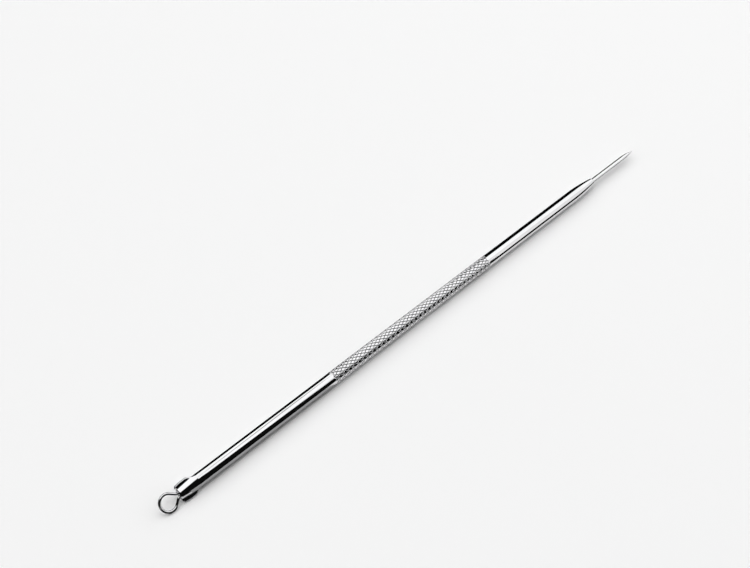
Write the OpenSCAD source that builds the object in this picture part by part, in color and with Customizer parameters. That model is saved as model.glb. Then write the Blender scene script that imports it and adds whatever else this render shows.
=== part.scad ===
// Double-ended blackhead extractor: a polished steel rod with a diamond-knurled grip,
// a bent wire loop crimped into one end and a lancet needle pressed into the other.
// Millimetres. The tool lies as it does on a table, with Z up: the rod along X, the loop
// at -X and the needle at +X, rolled over until one ear of the crimp all but touches the
// table. The origin is on the rod's axis, halfway along the tool.

/* [Rod] */
// Diameter of the smooth rod
rod_d = 2.5; // [2:0.1:4]
// Length from the crimped end face to the knurled grip
loop_side_len = 35; // [24:0.5:60]
// Length of the smooth rod from the grip to the tapered nose
needle_side_len = 25; // [12:0.5:50]

/* [Grip] */
// Length of the knurled grip
grip_len = 40.5; // [24:0.5:60]
// Distance along the rod from one diamond to the next
knurl_pitch = 1.2; // [0.9:0.1:2]
// Number of diamonds around the rod
knurl_count = 12; // [10:2:16]
// Height of the diamonds' points above the smooth rod
knurl_raise = 0.06; // [0.02:0.01:0.1]
// Depth of the grooves below the smooth rod
knurl_depth = 0.13; // [0.08:0.01:0.2]

/* [Crimped end] */
// Length of the crimp along the rod
crimp_len = 4.2; // [3:0.1:6]
// Width over the two ears that the crimp squeezes out
crimp_w = 3.7; // [3.4:0.1:5]
// Thickness of the ears at their roots
ear_t = 0.8; // [0.6:0.05:1.2]
// Diameter of the round ridge at the end face
ridge_end_d = 1.9; // [1.7:0.05:2.3]
// Width of the bevel around the end face
rim_bevel = 0.22; // [0.1:0.02:0.4]

/* [Nose and needle] */
// Length of the tapered nose
nose_len = 6.5; // [4:0.5:12]
// Diameter of the nose at its shoulder
nose_end_d = 1.4; // [1.35:0.05:1.8]
// Diameter of the needle
needle_d = 1.05; // [0.7:0.05:1.15]
// Length of needle that stands out of the nose
needle_out = 13; // [8:0.5:20]
// Length of the needle's ground point
point_len = 3.7; // [2:0.1:6]
// Length of needle pressed into the rod
needle_seat = 9; // [6:0.5:16]

/* [Loop] */
// Diameter of the loop's wire
wire_d = 0.5; // [0.4:0.05:0.6]
// Width over the outside of the loop
loop_w = 3.6; // [3:0.1:5]
// Angle between each wire and the rod's axis as it runs to the bow
splay = 41; // [30:1:55]
// Bend radius where each wire leaves the rod, to its centre line
bend_r = 0.6; // [0.4:0.05:0.9]
// Gap between the two wire legs in the rod
leg_gap = 0.2; // [0.05:0.05:0.3]
// Length of each wire leg held in the rod
leg_len = 6; // [4:0.5:12]

/* [Fits] */
// Gap left between a pressed or crimped piece and the wall of its seat
seat_gap = 0.01; // [0.01:0.005:0.03]

/* [Hidden] */
$fn = 64;

rod_r = rod_d / 2;
wire_r = wire_d / 2;
needle_r = needle_d / 2;

// Loop in the plane: each leg bends out by splay and runs straight into the round bow.
bow_r = loop_w / 2 - wire_r;
leg_y = (wire_d + leg_gap) / 2;
bend_end = [-bend_r * sin(splay), leg_y + bend_r * (1 - cos(splay))];
bow_x = bend_end[0] - (bow_r - bend_end[1] * cos(splay)) / sin(splay);
loop_reach = bow_r + wire_r - bow_x;

// Stations along the tool
total_len = loop_reach + loop_side_len + grip_len + needle_side_len + nose_len + needle_out;
end_x = loop_reach - total_len / 2;
crimp_x = end_x + crimp_len;
grip_x = end_x + loop_side_len;
grip_end_x = grip_x + grip_len;
nose_x = grip_end_x + needle_side_len;
shoulder_x = nose_x + nose_len;

// Small sizes that follow from the ones above
edge = 0.08;                      // chamfer where a smooth rod meets the grip
root_r = rod_r - knurl_depth;
top_r = rod_r + knurl_raise;
embed = 0.4;                      // how far the crimp and the knurl's core run into the rod
bore_point = needle_r / 2;        // depth of the drill point below the needle's seat

ear_clear = 0.06;                 // between the lower ear and the table that the grip lies on

// The knurl is turned to lie on two rows of points, so it reaches down a little less
knurl_turn = 360 / knurl_count;
grip_reach = top_r * cos(knurl_turn / 4);

// How far below the axis an ear or the loop reaches when the tool is rolled, and the roll
// at which it is just clear of the table, found by halving
ear_power = 2.6;
ear_dual = ear_power / (ear_power - 1);
function ear_reach(roll) =
    pow(pow(crimp_w / 2 * sin(roll), ear_dual) + pow(ear_t / 2 * cos(roll), ear_dual), 1 / ear_dual);
function side_reach(roll) = max(ear_reach(roll), bow_r * sin(roll) + wire_r);
function rest_roll(low, high, n) = let (mid = (low + high) / 2)
    n == 0 ? mid
    : side_reach(mid) > grip_reach - ear_clear ? rest_roll(low, mid, n - 1)
    : rest_roll(mid, high, n - 1);
lie_roll = rest_roll(0, 80, 16);

// A point at x, at radius r and angle a around the rod
function around(x, r, a) = [x, r * cos(a), r * sin(a)];
function smooth(u) = let (v = min(max(u, 0), 1)) v * v * (3 - 2 * v);
function mix(a, b, u) = a + (b - a) * u;

// Triangles that join ring i to ring i + 1 in a list of rings of n points
function skin(rings, n) = [
    for (i = [0:rings - 2], j = [0:n - 1])
        let (a = i * n + j, b = i * n + (j + 1) % n)
            each [[a, b + n, b], [a, a + n, b + n]]
];

module tube_skin(points, rings, n) {
    polyhedron(points, concat(
        [[for (j = [0:n - 1]) j]],
        skin(rings, n),
        [[for (j = [n - 1:-1:0]) (rings - 1) * n + j]]
    ));
}

module at_x(x) {
    translate([x, 0, 0]) rotate([0, 90, 0]) children();
}

module rolled() {
    rotate([lie_roll, 0, 0]) children();
}

// Crimped end: a tapering round ridge with two ears squeezed out in the loop's plane
crimp_steps = 18;
crimp_sides = 52;
rim_share = rim_bevel / crimp_len;

function ridge_r(u) = mix(ridge_end_d / 2, rod_r - 0.03, u);
// The ears are widest two fifths of the way along, and fade out before the crimp ends
function ear_w(u) =
    mix(rod_r * 0.8, crimp_w / 2, smooth((0.95 - u) / 0.5)) * (1 - 0.13 * pow(max(1 - u / 0.4, 0), 2));
// The rounded lens of both ears, seen along the rod, merged with the ridge's circle
function ear_r(u, a) =
    pow(pow(abs(cos(a)) / ear_w(u), ear_power) + pow(abs(sin(a)) / (ear_t / 2), ear_power), -1 / ear_power);
function crimp_r(u, a) = pow(pow(ridge_r(u), 12) + pow(ear_r(u, a), 12), 1 / 12);

module crimped_end() {
    stations = concat([0, rim_share], [for (i = [1:crimp_steps]) mix(rim_share, 1, i / crimp_steps)]);
    points = [
        for (i = [0:len(stations)], j = [0:crimp_sides - 1])
            let (
                t = 360 * j / crimp_sides,
                // Closer points on the ears than on the ridge
                a = atan2(0.5 * sin(t), cos(t)),
                last = i == len(stations),
                u = last ? 1 : stations[i],
                bevel = i == 0 ? rim_bevel : 0,
                r = last ? rod_r - 2 * edge : crimp_r(u, a) - bevel
            )
                around(end_x + u * crimp_len + (last ? embed : 0), r, a)
    ];
    rolled() tube_skin(points, len(stations) + 1, crimp_sides);
}

// Diamond knurl: grooves cross at the nodes of a staggered grid, and each diamond between
// four nodes rises to a point
knurl_rows = 2 * round(grip_len / knurl_pitch);
knurl_step = grip_len / knurl_rows;

// The first two and last two rings of nodes run straight into the smooth rods
function knurl_ring_x(row) =
    row < 0 ? grip_x - embed : row > knurl_rows ? grip_end_x + embed : grip_x + row * knurl_step;
function knurl_shift(row) = row < 0 || row > knurl_rows ? 0 : row % 2;

module knurl() {
    n = knurl_count;
    rings = knurl_rows + 3;
    nodes = [
        for (row = [-1:knurl_rows + 1], i = [0:n - 1])
            around(knurl_ring_x(row), root_r, (i + 0.25 + knurl_shift(row) / 2) * knurl_turn)
    ];
    peaks = [
        for (row = [1:knurl_rows - 1], i = [0:n - 1])
            around(grip_x + row * knurl_step, top_r, (i + 0.75 + row % 2 / 2) * knurl_turn)
    ];
    diamonds = [
        for (row = [1:knurl_rows - 1], i = [0:n - 1])
            let (
                shift = row % 2,
                ring = (row + 1) * n,
                peak = rings * n + (row - 1) * n + i,
                before = ring - n + (i + shift) % n,
                after = ring + n + (i + shift) % n,
                low = ring + i,
                high = ring + (i + 1) % n
            )
                each [[before, low, peak], [low, after, peak], [after, high, peak], [high, before, peak]]
    ];
    last = (knurl_rows + 1) * n;
    half_diamonds = [
        for (i = [0:n - 1])
            let (k = (i + 1) % n)
                each [
                    [i, n + i, k], [k, n + i, n + k], [n + i, 2 * n + i, n + k],
                    [last + i, last + k, last - n + i],
                    [last + i, last + n + i, last + k], [last + k, last + n + i, last + n + k]
                ]
    ];
    polyhedron(concat(nodes, peaks), concat(
        diamonds,
        half_diamonds,
        [[for (i = [0:n - 1]) i]],
        [[for (i = [n - 1:-1:0]) last + n + i]]
    ));
}

// Smooth rod on the loop's side
module loop_side_rod() {
    len = grip_x - crimp_x;
    at_x(crimp_x) rotate_extrude()
        polygon([[0, 0], [rod_r, 0], [rod_r, len - edge], [rod_r - edge, len], [0, len]]);
}

// Smooth rod on the needle's side, with its nose drawn in along an arc to the shoulder
nose_steps = 8;
nose_drop = rod_r - nose_end_d / 2;
nose_arc_r = (nose_len * nose_len + nose_drop * nose_drop) / (2 * nose_drop);

function nose_r(z) = rod_r - nose_arc_r + sqrt(nose_arc_r * nose_arc_r - z * z);

module needle_side_rod() {
    at_x(grip_end_x) rotate_extrude() polygon(concat(
        [[0, 0], [rod_r - edge, 0], [rod_r, edge]],
        [for (i = [0:nose_steps])
            let (z = nose_len * i / nose_steps) [nose_r(z), needle_side_len + z]],
        [[0, needle_side_len + nose_len]]
    ));
}

// Blind hole that the needle is pressed into
module needle_bore() {
    r = needle_r + seat_gap;
    at_x(shoulder_x - needle_seat) {
        cylinder(h = needle_seat + 1, r = r);
        translate([0, 0, -bore_point]) cylinder(h = bore_point, r1 = 0, r2 = r);
    }
}

// Flat-sided pocket that the crimp closes on the two wire legs
module leg_pocket() {
    r = wire_r + seat_gap;
    rolled() {
        for (side = [-1, 1]) translate([0, side * leg_y, 0]) at_x(end_x - 1) cylinder(h = leg_len + 1, r = r);
        translate([end_x - 1, -leg_y, -r]) cube([leg_len + 1, 2 * leg_y, 2 * r]);
    }
}

module handle() {
    color("silver") difference() {
        union() {
            crimped_end();
            loop_side_rod();
            knurl();
            needle_side_rod();
        }
        needle_bore();
        leg_pocket();
    }
}

// Loop: each wire runs out of the rod, bends at its mouth and goes straight to the round bow
wire_sides = 16;
bend_steps = 4;
bow_steps = 44;

// The wire's centre line from the +Y leg around the bow, as x, y and the way it is heading
half_path = concat(
    [[leg_len, leg_y, 180]],
    [for (i = [0:bend_steps])
        let (q = splay * i / bend_steps) [-bend_r * sin(q), leg_y + bend_r * (1 - cos(q)), 180 - q]]
);
bow_path = [
    for (i = [0:bow_steps])
        let (h = mix(180 - splay, 360 + splay, i / bow_steps)) [bow_x + bow_r * sin(h), -bow_r * cos(h), h]
];
half_count = len(half_path);
wire_path = concat(
    half_path,
    bow_path,
    [for (i = [half_count - 1:-1:0]) let (p = half_path[i]) [p[0], -p[1], 540 - p[2]]]
);

module extractor_loop() {
    points = [
        for (p = wire_path, j = [0:wire_sides - 1])
            let (a = 360 * j / wire_sides, q = wire_r * cos(a))
                [p[0] - q * sin(p[2]), p[1] + q * cos(p[2]), wire_r * sin(a)]
    ];
    color("gainsboro") rolled() translate([end_x, 0, 0]) tube_skin(points, len(wire_path), wire_sides);
}

// Needle: a pressed shank with a chamfered base, and a point ground to a slim arc
point_steps = 6;
tip_r = 0.03;
base_edge = needle_d / 10;

function point_r(v) = mix(tip_r, needle_r, pow(sin(90 * v), 0.9));

module lancet_needle() {
    body = needle_seat + needle_out - point_len;
    color("lightgray") at_x(shoulder_x - needle_seat) rotate_extrude() polygon(concat(
        [[0, 0], [needle_r - base_edge, 0], [needle_r, base_edge]],
        [for (i = [0:point_steps])
            let (v = i / point_steps) [point_r(1 - v), body + point_len * v]],
        [[0, body + point_len]]
    ));
}

handle();
extractor_loop();
lancet_needle();
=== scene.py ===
import math

import bpy
import numpy as np
from mathutils import Matrix, Vector


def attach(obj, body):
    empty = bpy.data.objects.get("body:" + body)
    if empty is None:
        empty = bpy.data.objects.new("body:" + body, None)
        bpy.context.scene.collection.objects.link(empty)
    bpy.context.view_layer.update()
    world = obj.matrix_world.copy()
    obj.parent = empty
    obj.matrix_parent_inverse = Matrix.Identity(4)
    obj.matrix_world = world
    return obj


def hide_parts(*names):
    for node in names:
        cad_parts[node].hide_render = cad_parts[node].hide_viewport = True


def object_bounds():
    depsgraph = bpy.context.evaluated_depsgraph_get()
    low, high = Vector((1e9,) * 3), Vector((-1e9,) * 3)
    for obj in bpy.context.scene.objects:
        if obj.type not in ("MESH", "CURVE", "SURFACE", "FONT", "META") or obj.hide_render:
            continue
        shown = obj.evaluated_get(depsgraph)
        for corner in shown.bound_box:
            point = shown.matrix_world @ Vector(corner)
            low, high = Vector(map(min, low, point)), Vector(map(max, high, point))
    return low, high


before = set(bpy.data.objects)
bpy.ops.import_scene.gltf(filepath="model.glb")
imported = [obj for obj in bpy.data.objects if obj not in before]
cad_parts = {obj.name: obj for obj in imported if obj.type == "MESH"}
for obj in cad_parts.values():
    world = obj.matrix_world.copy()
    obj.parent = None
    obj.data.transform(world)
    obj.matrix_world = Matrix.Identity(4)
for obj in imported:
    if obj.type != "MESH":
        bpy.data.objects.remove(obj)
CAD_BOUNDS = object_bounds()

MM = 0.001

# Sizes in millimetres, as in the CAD part
ROD_R = 1.25
LOOP_SIDE_LEN = 35.0
NEEDLE_SIDE_LEN = 25.0
GRIP_LEN = 40.5
KNURL_PITCH = 1.2
KNURL_COUNT = 12
GRIP_EDGE = 0.08
CRIMP_LEN = 4.2
CRIMP_W = 3.7
EAR_T = 0.8
RIDGE_END_D = 1.9
RIM_BEVEL = 0.22
NOSE_LEN = 6.5
NOSE_END_R = 0.7
NEEDLE_R = 0.525
NEEDLE_OUT = 13.0
NEEDLE_SEAT = 9.0
SEAT_GAP = 0.01
POINT_LEN = 3.7
TIP_R = 0.03
WIRE_R = 0.25
LOOP_W = 3.6
SPLAY = math.radians(41)
BEND_R = 0.6
LEG_GAP = 0.2
LEG_LEN = 6.0
LIE_ROLL = math.radians(38.664)

# Places that follow from them: the loop seen from the crimp's end, then stations along the rod
BOW_R = LOOP_W / 2 - WIRE_R
LEG_Y = WIRE_R + LEG_GAP / 2
BEND_END = (-BEND_R * math.sin(SPLAY), LEG_Y + BEND_R * (1 - math.cos(SPLAY)))
BOW_X = BEND_END[0] - (BOW_R - BEND_END[1] * math.cos(SPLAY)) / math.sin(SPLAY)
LOOP_REACH = BOW_R + WIRE_R - BOW_X
TOTAL = LOOP_REACH + LOOP_SIDE_LEN + GRIP_LEN + NEEDLE_SIDE_LEN + NOSE_LEN + NEEDLE_OUT
END_X = LOOP_REACH - TOTAL / 2
CRIMP_X = END_X + CRIMP_LEN
GRIP_X = END_X + LOOP_SIDE_LEN
GRIP_END_X = GRIP_X + GRIP_LEN
NOSE_X = GRIP_END_X + NEEDLE_SIDE_LEN
SHOULDER_X = NOSE_X + NOSE_LEN
TIP_X = CAD_BOUNDS[1][0] / MM
FLOOR_Z = CAD_BOUNDS[0][2]

# Forms that are finer here than in the CAD part, in millimetres unless they are shares.
# Knurl: its crowns are pressed nearly flat, and its grooves are narrow.
KNURL_RAISE = 0.045
KNURL_DEPTH = 0.07
FLANK_SHARE = 0.24
DOME_SHARE = 0.1
KNURL_RUN_OUT = 0.35
GROOVE_PHASE = 0.25

# Crimp: a ridge with a flat between two slopes, and an ear on each side of it.
# Pairs give the size at the tool's end and where the crimp meets the round rod. Run-outs and starts are
# shares of the crimp's length, the powers set how square a corner is, and a higher one is squarer.
FLAT_HALF_W = (0.38, 0.6)
FLAT_UNDER = (0.02, 0.15)
RIDGE_SLOPE = math.radians(48)
RIDGE_POWER = 24
EAR_ROOT = 0.8
EAR_FLARE = 0.42
EAR_PINCH = 0.1
EAR_PINCH_RUN = 0.4
EAR_WIDTH_SHARE = 0.94
EAR_THICK_SHARE = 0.8
EAR_BEVEL_SHARE = 0.7
EAR_POWER = 8
MEETING_POWER = 20
ROUND_FROM = 0.9
EAR_CROWDING = 0.45

# Pocket of the wire's legs: how far in, and how much wider, from its bottom out to its crushed mouth
POCKET_HALF_W = 0.61
POCKET_HALF_T = 0.26
POCKET_STEPS = ((LEG_LEN + SEAT_GAP, 0), (3, 0), (1.2, 0), (0.8, 0.05), (0.4, 0.14), (0.04, 0.2), (0, 0.24))
MOUTH_STRETCH = 1.2
MOUTH_LIP = 0.04

# Nose, bore and needle
NOSE_LIP = 0.09
BORE_BEVEL = 0.04
BORE_R = NEEDLE_R + SEAT_GAP
NEEDLE_CHAMFER = 0.1
POINT_POWER = 0.9

# Mesh: columns round the handle, a whole number of them in each cell of the knurl, and rings along it
SIDES = 168
CELLS = SIDES // KNURL_COUNT
ROWS = 2 * round(GRIP_LEN / KNURL_PITCH)
ROW_STEP = GRIP_LEN / ROWS
END_FACE_SHARES = (0.4, 0.97, 1.0)
BEVEL_SHARES = (0.04, 0.96, 1.0)
DENSE_FROM = 0.55
EAR_STEPS = 12
RUN_OUT_STEPS = 30
ROD_STEPS = 16
TURN_HASTE = 1.05
SHANK_STEPS = 4
NOSE_STEPS = 16
LIP_STEPS = 5
WIRE_SIDES = 28
BEND_STEPS = 10
BOW_STEPS = 110
LEG_STEP = 0.5
NEEDLE_SIDES = 72
NEEDLE_STEPS = 20
POINT_STEPS = 40


def mix(a, b, u):
    return a + (b - a) * u


def smooth(u):
    """An even step from 0 to 1."""
    v = np.clip(u, 0, 1)
    return v * v * (3 - 2 * v)


def turn_of(sides):
    """Angles of as many points, evenly round a full turn."""
    return np.arange(sides) * 2 * math.pi / sides


def rolled(points):
    """Turn points about the rod's axis by the angle at which the tool lies."""
    c, s = math.cos(LIE_ROLL), math.sin(LIE_ROLL)
    x, y, z = points[..., 0], points[..., 1], points[..., 2]
    return np.stack([x, y * c - z * s, y * s + z * c], axis=-1)


def ring(x, r, a):
    """Points at x, at radii r and angles a around the rod, from +Y towards +Z."""
    return np.stack([np.full_like(a, x), r * np.cos(a), r * np.sin(a)], axis=-1)


def skin(name, rings, split=None, sharp=40):
    """A closed tube over rings of equally many points, with a pole at each end.

    split(ring, column) says along which diagonal a face is cut in two, as 1 or -1, or 0 for neither.
    """
    n = len(rings[0])
    points = np.concatenate([[rings[0].mean(0)], *rings, [rings[-1].mean(0)]])
    first, last = 0, len(points) - 1
    j = np.arange(n)
    k = (j + 1) % n
    faces = [(first, 1 + a, 1 + b) for a, b in zip(k, j)]
    for i in range(len(rings) - 1):
        base = 1 + i * n
        for a, b in zip(j, k):
            q = (base + a, base + b, base + n + b, base + n + a)
            way = split(i, a) if split else 0
            if way == 0:
                faces.append(q)
            elif way > 0:
                faces += [(q[0], q[1], q[2]), (q[0], q[2], q[3])]
            else:
                faces += [(q[0], q[1], q[3]), (q[1], q[2], q[3])]
    base = 1 + (len(rings) - 1) * n
    faces += [(last, base + a, base + b) for a, b in zip(j, k)]

    mesh = bpy.data.meshes.new(name)
    mesh.from_pydata((points * MM).tolist(), [], [tuple(int(v) for v in f) for f in faces])
    mesh.validate()
    mesh.update()
    mesh.polygons.foreach_set("use_smooth", [True] * len(mesh.polygons))
    mesh.set_sharp_from_angle(angle=math.radians(sharp))
    obj = bpy.data.objects.new(name, mesh)
    bpy.context.scene.collection.objects.link(obj)
    return obj


def point_value(obj, name, values):
    """Give each point of the mesh a number that a material can read."""
    attribute = obj.data.attributes.new(name, "FLOAT", "POINT")
    attribute.data.foreach_set("value", np.asarray(values, np.float32))


# The handle is one closed skin: pocket, crimped end, rod, knurl, rod, nose and bore.
# Its columns gather on the ears at the crimp, and sit on the knurl's grooves at the grip.

COLUMN = turn_of(SIDES)
CROWDED = np.arctan2(EAR_CROWDING * np.sin(COLUMN), np.cos(COLUMN))
CRIMP_ANGLE = COLUMN + np.angle(np.exp(1j * (CROWDED - COLUMN)))
CRIMP_LAID = CRIMP_ANGLE + LIE_ROLL
KNURL_TURN = 2 * math.pi / KNURL_COUNT
KNURL_ANGLE = COLUMN + (KNURL_COUNT // 8 + GROOVE_PHASE) * KNURL_TURN


def crimp_radius(u, a, inset=0.0):
    """Outline of the crimp at angles a, at share u of the way from its end to the round rod."""
    high = mix(RIDGE_END_D / 2 - FLAT_UNDER[0], ROD_R - FLAT_UNDER[1], u)
    half = mix(*FLAT_HALF_W, u)
    off = half * math.sin(RIDGE_SLOPE) + high * math.cos(RIDGE_SLOPE)
    walls = [(0, high), (RIDGE_SLOPE, off), (-RIDGE_SLOPE, off)]
    ridge = sum(np.abs(np.sin(a + turn) / (reach - inset)) ** RIDGE_POWER for turn, reach in walls)
    ridge = ridge + (1 / (ROD_R - inset)) ** RIDGE_POWER
    ridge = ridge ** (-1 / RIDGE_POWER)

    flare = mix(ROD_R * EAR_ROOT, CRIMP_W / 2, smooth((1.0 - u) / EAR_FLARE))
    pinch = 1 - EAR_PINCH * max(1 - u / EAR_PINCH_RUN, 0) ** 2
    width = flare * pinch * EAR_WIDTH_SHARE - inset
    height = EAR_T / 2 * EAR_THICK_SHARE - inset * EAR_BEVEL_SHARE
    across = np.abs(np.cos(a) / width) ** EAR_POWER
    upward = np.abs(np.sin(a) / height) ** EAR_POWER
    ear = (across + upward) ** (-1 / EAR_POWER)
    return (ridge ** MEETING_POWER + ear ** MEETING_POWER) ** (1 / MEETING_POWER)


def pocket_radius(wider, a):
    """Outline of the pocket for the wire's two legs: flat sides and round ends."""
    half_w = POCKET_HALF_W + wider * MOUTH_STRETCH
    half_t = POCKET_HALF_T + wider
    c, s = np.abs(np.cos(a)), np.abs(np.sin(a))
    flat = half_w - half_t
    on_side = half_t * c <= flat * s
    side = half_t / np.maximum(s, 0.001)
    end = flat * c + np.sqrt(np.maximum(half_t ** 2 - (flat * s) ** 2, 0))
    return np.where(on_side, side, end)


def knurl_cells(x, a):
    """How far x and a lie along each hand of groove, counted in grooves."""
    across = a / KNURL_TURN - GROOVE_PHASE
    along = (x - GRIP_X) / (2 * ROW_STEP)
    return across - along, across + along


def knurl_height(x, a):
    """From 0 in the grooves to 1 on the diamonds' crowns."""
    near = np.minimum(*[np.abs(p - np.round(p)) * 2 for p in knurl_cells(x, a)])
    return mix(smooth(near / FLANK_SHARE), near, DOME_SHARE)


# Each of the following yields rings of the handle: x, radii, angles, and how deep in a groove or hole they
# are, which the steel shows as painted shade

def pocket_rings():
    """From the bottom of the pocket out to its mouth."""
    for depth, wider in POCKET_STEPS:
        # The pocket past its lip gets full painted shade
        deep = 1.0 if depth > MOUTH_LIP else 0.0
        yield END_X + depth, pocket_radius(wider, CRIMP_ANGLE), CRIMP_LAID, deep


def end_face_rings():
    """The flat end, from the pocket's mouth out to the bevel."""
    mouth = pocket_radius(POCKET_STEPS[-1][1], CRIMP_ANGLE)
    edge = crimp_radius(0, CRIMP_ANGLE, RIM_BEVEL)
    for share in END_FACE_SHARES:
        yield END_X, mix(mouth, edge, share), CRIMP_LAID, 0.0


def crimp_rings():
    """The bevel round the end, then the ears, which run out into the round rod."""
    for share in BEVEL_SHARES:
        along = RIM_BEVEL * share
        r = crimp_radius(along / CRIMP_LEN, CRIMP_ANGLE, RIM_BEVEL * (1 - share))
        yield END_X + along, r, CRIMP_LAID, 0.0
    shares = [mix(RIM_BEVEL / CRIMP_LEN, DENSE_FROM, k / EAR_STEPS) for k in range(1, EAR_STEPS + 1)]
    shares += [mix(DENSE_FROM, 1, k / RUN_OUT_STEPS) for k in range(1, RUN_OUT_STEPS + 1)]
    for u in shares:
        r = crimp_radius(u, CRIMP_ANGLE)
        r = mix(r, ROD_R, smooth((u - ROUND_FROM) / (1 - ROUND_FROM)))
        yield END_X + u * CRIMP_LEN, r, CRIMP_LAID, 0.0


def loop_side_rings():
    """Smooth rod up to the grip. Its columns turn to the knurl's grooves, a little before they get there."""
    for step in range(1, ROD_STEPS + 1):
        u = step / ROD_STEPS
        a = mix(CRIMP_LAID, KNURL_ANGLE, smooth(u * TURN_HASTE))
        yield mix(CRIMP_X, GRIP_X - GRIP_EDGE, u), ROD_R, a, 0.0


def knurl_rings():
    """The grip, whose grooves run out into the rod at both ends."""
    for row in range(ROWS * CELLS // 2 + 1):
        x = GRIP_X + row * ROW_STEP * 2 / CELLS
        h = knurl_height(x, KNURL_ANGLE)
        fade = smooth(min(x - GRIP_X, GRIP_END_X - x) / KNURL_RUN_OUT)
        r = ROD_R - KNURL_DEPTH + (KNURL_DEPTH + KNURL_RAISE) * h
        # Deeper in a groove means more painted shade
        yield x, mix(ROD_R, r, fade), KNURL_ANGLE, (1 - h) * fade


def needle_side_rings():
    """Smooth rod from the grip to the nose."""
    for step in range(SHANK_STEPS + 1):
        yield mix(GRIP_END_X + GRIP_EDGE, NOSE_X, step / SHANK_STEPS), ROD_R, KNURL_ANGLE, 0.0


def nose_rings():
    """The nose narrows along an arc that starts level with the rod, and ends in a rounded lip."""
    drop = ROD_R - NOSE_END_R
    arc_r = (NOSE_LEN ** 2 + drop ** 2) / (2 * drop)
    lip_start = NOSE_LEN - NOSE_LIP
    for step in range(1, NOSE_STEPS + 1):
        along = lip_start * step / NOSE_STEPS
        yield NOSE_X + along, ROD_R - arc_r + math.sqrt(arc_r ** 2 - along ** 2), KNURL_ANGLE, 0.0
    end_r = ROD_R - arc_r + math.sqrt(arc_r ** 2 - lip_start ** 2)
    for step in range(1, LIP_STEPS + 1):
        q = step / LIP_STEPS * math.pi / 2
        x = SHOULDER_X - NOSE_LIP + NOSE_LIP * math.sin(q)
        yield x, end_r - NOSE_LIP * (1 - math.cos(q)), KNURL_ANGLE, 0.0


def bore_rings():
    """The needle's bore, from its bevelled mouth to its bottom."""
    yield SHOULDER_X, BORE_R + BORE_BEVEL, KNURL_ANGLE, 0.0
    for depth in (BORE_BEVEL, 1, NEEDLE_SEAT / 2, NEEDLE_SEAT + SEAT_GAP):
        # The bore past its bevel gets full painted shade
        yield SHOULDER_X - depth, BORE_R, KNURL_ANGLE, 1.0


HANDLE_STRETCHES = (
    pocket_rings,
    end_face_rings,
    crimp_rings,
    loop_side_rings,
    knurl_rings,
    needle_side_rings,
    nose_rings,
    bore_rings,
)


def make_handle():
    rings, groove = [], []
    for stretch in HANDLE_STRETCHES:
        for x, r, a, deep in stretch():
            rings.append(ring(x, np.broadcast_to(r, a.shape), a))
            groove.append(np.broadcast_to(deep, a.shape))
    xs = [points[0, 0] for points in rings]

    def split(i, j):
        """Cut each face of the knurl along the nearer groove."""
        x = (xs[i] + xs[i + 1]) / 2
        if not GRIP_X < x < GRIP_END_X:
            return 0
        first, second = [abs(p - round(p)) for p in knurl_cells(x, KNURL_ANGLE[j] + math.pi / SIDES)]
        return 1 if first < second else -1

    obj = skin("polished_handle", rings, split)
    # The groove values carry the painted shade to the steel's material
    point_value(obj, "groove", np.concatenate([[0], *groove, [0]]))
    return obj


def make_loop():
    """The wire is swept along one leg, its bend, the bow, and back down the other side."""
    path = [(LEG_LEN - k * LEG_STEP, LEG_Y, math.pi) for k in range(int(LEG_LEN / LEG_STEP) + 1)]
    for k in range(1, BEND_STEPS + 1):
        q = SPLAY * k / BEND_STEPS
        path.append((-BEND_R * math.sin(q), LEG_Y + BEND_R * (1 - math.cos(q)), math.pi - q))
    bow = []
    for k in range(BOW_STEPS + 1):
        h = mix(math.pi - SPLAY, 2 * math.pi + SPLAY, k / BOW_STEPS)
        bow.append((BOW_X + BOW_R * math.sin(h), -BOW_R * math.cos(h), h))
    path = path + bow + [(x, -y, 3 * math.pi - h) for x, y, h in reversed(path)]

    a = turn_of(WIRE_SIDES)
    rings = []
    for x, y, h in path:
        q = WIRE_R * np.cos(a)
        points = np.stack([x - q * math.sin(h), y + q * math.cos(h), WIRE_R * np.sin(a)], axis=-1)
        rings.append(rolled(points + [END_X, 0, 0]))
    return skin("wire_loop", rings)


def make_needle():
    """A straight shaft with a chamfered inner end, and a ground point with a slight belly."""
    start = SHOULDER_X - NEEDLE_SEAT
    shaft = start + 2 * NEEDLE_CHAMFER
    point = TIP_X - POINT_LEN
    profile = [(start, NEEDLE_R - NEEDLE_CHAMFER), (start + NEEDLE_CHAMFER, NEEDLE_R)]
    profile += [(mix(shaft, point, k / NEEDLE_STEPS), NEEDLE_R) for k in range(NEEDLE_STEPS + 1)]
    for k in range(1, POINT_STEPS + 1):
        v = 1 - k / POINT_STEPS
        r = mix(TIP_R, NEEDLE_R, math.sin(math.pi / 2 * v) ** POINT_POWER)
        profile.append((point + POINT_LEN * (1 - v), r))
    a = turn_of(NEEDLE_SIDES)
    return skin("lancet_point", [ring(x, np.full(NEEDLE_SIDES, r), a) for x, r in profile])


# Materials

SHADE_IN_SMUDGES = 0.93
# Painted shade: steel in the knurl's grooves, the wire's pocket and the needle's bore is darkened to this
# share of its colour
PAINTED_SHADE_IN_GROOVES = 0.1
ROUGH_IN_GROOVES = 0.18
HAIRLINE_HEIGHT = 0.6


def node(tree, kind, **values):
    """A new node, with values set on its inputs where it has such an input, and else on itself."""
    n = tree.nodes.new(kind)
    for key, value in values.items():
        if key in n.inputs:
            n.inputs[key].default_value = value
        else:
            setattr(n, key, value)
    return n


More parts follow.
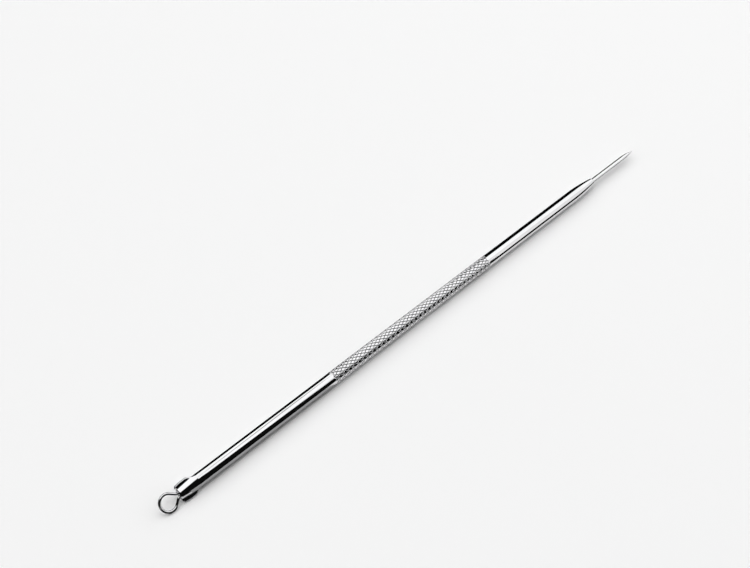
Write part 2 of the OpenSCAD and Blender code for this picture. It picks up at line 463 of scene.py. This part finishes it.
def steel(name, colour, rough, smudge, scratch, groove=False):
    """Polished steel: faint smudges and wear, lengthwise hairlines, turned marks, and painted shade in
    grooves and holes, which are also rougher there.
    """
    material = bpy.data.materials.new(name)
    material.use_nodes = True
    tree = material.node_tree
    shader = tree.nodes["Principled BSDF"]
    shader.inputs["Metallic"].default_value = 1.0
    link = tree.links.new
    place = node(tree, "ShaderNodeTexCoord")

    def pattern(stretch, detail, size):
        mapping = node(tree, "ShaderNodeMapping")
        mapping.inputs["Scale"].default_value = stretch
        link(place.outputs["Object"], mapping.inputs["Vector"])
        noise = node(tree, "ShaderNodeTexNoise", Scale=size, Detail=detail, Roughness=0.6)
        link(mapping.outputs["Vector"], noise.inputs["Vector"])
        return noise.outputs["Fac"]

    def spread(value, low, high, to_low, to_high):
        n = node(tree, "ShaderNodeMapRange")
        for key, v in zip(("From Min", "From Max", "To Min", "To Max"), (low, high, to_low, to_high)):
            n.inputs[key].default_value = v
        link(value, n.inputs["Value"])
        return n.outputs["Result"]

    def math_node(operation, a, b):
        n = node(tree, "ShaderNodeMath", operation=operation)
        for socket, v in zip(n.inputs, (a, b)):
            if isinstance(v, (int, float)):
                socket.default_value = v
            else:
                link(v, socket)
        return n.outputs[0]

    def darker(share):
        return (*[c * share for c in colour], 1)

    smudges = pattern(stretch=(1, 1.6, 1.6), detail=4, size=160)
    hairlines = pattern(stretch=(1, 22, 22), detail=5, size=260)
    turned = pattern(stretch=(30, 1, 1), detail=3, size=420)
    smudged = spread(smudges, low=0.35, high=0.75, to_low=rough, to_high=rough + smudge)
    scratched = spread(hairlines, low=0.5, high=0.8, to_low=0, to_high=scratch)
    rough_value = math_node("ADD", smudged, scratched)

    tint = node(tree, "ShaderNodeMix", data_type="RGBA")
    tint.inputs[6].default_value = darker(SHADE_IN_SMUDGES)
    tint.inputs[7].default_value = darker(1)
    link(spread(smudges, low=0.3, high=0.6, to_low=0, to_high=1), tint.inputs[0])
    colour_out = tint.outputs[2]

    # Painted shade: the groove attribute darkens the steel in the knurl's grooves, the pocket and the bore,
    # and roughens it there
    if groove:
        depth = node(tree, "ShaderNodeAttribute", attribute_name="groove")
        groove_shade = spread(depth.outputs["Fac"], low=0.4, high=0.85, to_low=0, to_high=1)
        groove_shade_mix = node(tree, "ShaderNodeMix", data_type="RGBA")
        groove_shade_mix.inputs[7].default_value = darker(PAINTED_SHADE_IN_GROOVES)
        link(groove_shade, groove_shade_mix.inputs[0])
        link(colour_out, groove_shade_mix.inputs[6])
        colour_out = groove_shade_mix.outputs[2]
        rough_value = math_node("ADD", rough_value, math_node("MULTIPLY", groove_shade, ROUGH_IN_GROOVES))

    link(colour_out, shader.inputs["Base Color"])
    link(rough_value, shader.inputs["Roughness"])
    marks = math_node("ADD", math_node("MULTIPLY", hairlines, HAIRLINE_HEIGHT), turned)
    bump = node(tree, "ShaderNodeBump", Strength=0.03, Distance=0.00001)
    link(marks, bump.inputs["Height"])
    link(bump.outputs["Normal"], shader.inputs["Normal"])
    return material


def dress(obj, material, node_name):
    obj.data.materials.clear()
    obj.data.materials.append(material)
    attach(obj, "root")
    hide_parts(node_name)


ROD_STEEL = (0.78, 0.78, 0.79)
NEEDLE_STEEL = (0.8, 0.8, 0.81)

handle_polish = steel("handle_polish", ROD_STEEL, rough=0.018, smudge=0.03, scratch=0.03, groove=True)
dress(make_handle(), handle_polish, "handle")
wire_polish = steel("wire_polish", ROD_STEEL, rough=0.02, smudge=0.03, scratch=0.04)
dress(make_loop(), wire_polish, "extractor_loop")
needle_polish = steel("needle_polish", NEEDLE_STEEL, rough=0.015, smudge=0.02, scratch=0.03)
dress(make_needle(), needle_polish, "lancet_needle")


# Stage, in metres: a pale table, a light tent all round, and boards that the steel reflects

TABLE_HALF = 8.0
WALL = 0.6
WALL_TOP = 2.4
FAR_LEFT = -3
NEAR_RIGHT = 1.2
FAR_RIGHT = 0.8
RAIL_Z = 0.9
CARD_GAP = 0.05
LOW = FLOOR_Z + 0.0001


def flat_material(name, level):
    material = bpy.data.materials.new(name)
    material.use_nodes = True
    shader = material.node_tree.nodes["Principled BSDF"]
    shader.inputs["Base Color"].default_value = (level, level, level, 1)
    shader.inputs["Roughness"].default_value = 1.0
    shader.inputs["Specular IOR Level"].default_value = 0.0
    return material


def stage_sheet(name, corners, material):
    mesh = bpy.data.meshes.new(name)
    mesh.from_pydata(corners, [], [tuple(range(len(corners)))])
    obj = bpy.data.objects.new(name, mesh)
    bpy.context.scene.collection.objects.link(obj)
    mesh.materials.append(material)
    return obj


def board(name, corners, material, shades=False):
    """A board outside the picture. The steel reflects it, and it shades the table where shades is true."""
    obj = stage_sheet(name, corners, material)
    obj.visible_camera = False
    obj.visible_diffuse = shades
    obj.visible_shadow = False
    obj.visible_transmission = False


def flat_on(z, corners):
    return [(x, y, z) for x, y in corners]


def upright_at(y, corners):
    return [(x, y, z) for x, z in corners]


def end_on(x, corners):
    return [(x, y, z) for y, z in corners]


floor = [(x * TABLE_HALF, y * TABLE_HALF) for x, y in ((-1, -1), (1, -1), (1, 1), (-1, 1))]
stage_sheet("floor", flat_on(FLOOR_Z, floor), flat_material("floor_paint", 0.98))

black = flat_material("black_board", 0.004)
grey = flat_material("grey_rail", 0.45)
white = flat_material("white_card", 0.98)

# The bends in these edges set where the streaks on the rod narrow and widen
near_wall = (
    (FAR_LEFT, LOW),
    (NEAR_RIGHT, LOW),
    (NEAR_RIGHT, 0.11),
    (0.385, 0.11),
    (0.42, 0.36),
    (0.325, 0.66),
    (0.34, 0.74),
    (0.405, 1.29),
    (0.45, 1.84),
    (0.45, WALL_TOP),
    (FAR_LEFT, WALL_TOP),
)
near_table = (
    (FAR_LEFT, -WALL),
    (FAR_LEFT, 0.0016),
    (-0.0592, 0.0016),
    (-0.059, -0.002),
    (-0.0558, -0.002),
    (-0.053, -0.0075),
    (-0.02, -0.0075),
    (0.02, -0.0044),
    (NEAR_RIGHT, -0.0044),
    (NEAR_RIGHT, -WALL),
)
far_wall = (
    (FAR_LEFT, LOW),
    (FAR_LEFT, 0.29),
    (0.1, 0.29),
    (0.175, 0.36),
    (0.235, 0.41),
    (0.268, 0.42),
    (0.262, 0.35),
    (0.232, 0.1),
    (0.22, LOW),
)
far_wall_right = (
    (0.35, LOW),
    (0.361, 0.106),
    (0.409, 0.346),
    (0.5, 0.62),
    (0.61, 0.86),
    (0.69, 0.94),
    (0.78, 0.88),
    (0.88, 0.16),
    (0.88, LOW),
)
far_table = (
    (FAR_LEFT, 0.0016),
    (FAR_LEFT, WALL),
    (FAR_RIGHT, WALL),
    (FAR_RIGHT, 0.0028),
    (-0.0575, 0.0028),
    (-0.0592, 0.0016),
)
rail = ((-0.4, 0.06), (-0.4, 0.11), (0.2, 0.28), (0.39, 0.75), (0.39, 0.43), (0.2, 0.2))
# A grey sheet on the table beside the rod, seen only in the steel: a painted shadow that darkens the table's
# reflection along the rod's lower side
painted_shadow_edge = ((-0.0558, -0.0075), (-0.0558, -0.0002), (-0.023, -0.0002), (-0.023, -0.0075))
end_wall = ((-0.12, LOW), (WALL, LOW), (WALL, 2.2), (-WALL, WALL_TOP), (-WALL, 0.6), (-0.12, 0.6))
end_card = ((-0.36, 0.08), (-0.12, 0.08), (-0.12, 0.3), (-0.36, 0.3))
end_table = ((-WALL, 0.001), (-0.0626, 0.001), (-0.0626, WALL), (-WALL, WALL))

board("near_wall", upright_at(-WALL, near_wall), black, shades=True)
board("near_table", flat_on(LOW, near_table), black)
board("far_wall", upright_at(WALL, far_wall), black, shades=True)
board("far_wall_right", upright_at(WALL, far_wall_right), black, shades=True)
board("far_table", flat_on(LOW, far_table), black)
board("rail", flat_on(RAIL_Z, rail), grey)
board("painted_shadow_edge", flat_on(LOW, painted_shadow_edge), grey)
board("end_wall", end_on(-WALL, end_wall), black)
board("end_card", end_on(-WALL + CARD_GAP, end_card), white)
board("end_table", flat_on(LOW, end_table), black)

# The tent is white where it is seen or mirrored, and a little brighter where it only lights
TENT_SHOWN = 1.0
TENT_LIGHT = 1.2

world = bpy.data.worlds.new("light_tent")
bpy.context.scene.world = world
world.use_nodes = True
tree = world.node_tree
tent = tree.nodes["Background"]
tent.inputs["Color"].default_value = (1, 1, 1, 1)
rays = node(tree, "ShaderNodeLightPath")
shown = rays.outputs["Is Camera Ray"]
for kind in ("Is Glossy Ray", "Is Transmission Ray"):
    either = node(tree, "ShaderNodeMath", operation="MAXIMUM")
    tree.links.new(shown, either.inputs[0])
    tree.links.new(rays.outputs[kind], either.inputs[1])
    shown = either.outputs[0]
level = node(tree, "ShaderNodeMapRange")
level.inputs["To Min"].default_value = TENT_LIGHT
level.inputs["To Max"].default_value = TENT_SHOWN
tree.links.new(shown, level.inputs["Value"])
tree.links.new(level.outputs["Result"], tent.inputs["Strength"])

# One wide soft panel overhead, leaning from behind the tool
PANEL_SIZE = (5.0, 4.0)
PANEL_LEVEL = 0.26
PANEL_AWAY = 2
PANEL_X = 0.9
PANEL_LEAN = math.radians(20)

panel = bpy.data.lights.new("panel", "AREA")
panel.shape = "RECTANGLE"
panel.size, panel.size_y = PANEL_SIZE
panel.energy = PANEL_LEVEL * math.pi * panel.size * panel.size_y
panel_obj = bpy.data.objects.new("panel", panel)
bpy.context.scene.collection.objects.link(panel_obj)
panel_obj.location = (PANEL_X, PANEL_AWAY * math.sin(PANEL_LEAN), PANEL_AWAY * math.cos(PANEL_LEAN))
panel_obj.rotation_euler = (-PANEL_LEAN, 0, 0)
panel_obj.visible_camera = False

# Camera at the photograph's angle: its place, and its right and backward axes, in the part's frame
CAMERA_MM = (-111.677, -104.918, 192.724)
CAMERA_RIGHT = (0.7260, -0.6880, 0.0)
CAMERA_BACK = (-0.4384, -0.4627, 0.7706)
LENS_MM = 62.6
SENSOR_MM = 36

camera = bpy.data.cameras.new("camera")
camera.sensor_width = SENSOR_MM
camera.sensor_fit = "HORIZONTAL"
camera.lens = LENS_MM
camera.clip_start = 0.01
camera.clip_end = 50
camera_obj = bpy.data.objects.new("camera", camera)
bpy.context.scene.collection.objects.link(camera_obj)
right = Vector(CAMERA_RIGHT).normalized()
back = Vector(CAMERA_BACK).normalized()
up = back.cross(right).normalized()
back = right.cross(up).normalized()
axes = Matrix((right, up, back)).transposed().to_4x4()
camera_obj.matrix_world = Matrix.Translation(Vector(CAMERA_MM) * MM) @ axes
bpy.context.scene.camera = camera_obj
bpy.context.scene.view_settings.view_transform = "Standard"
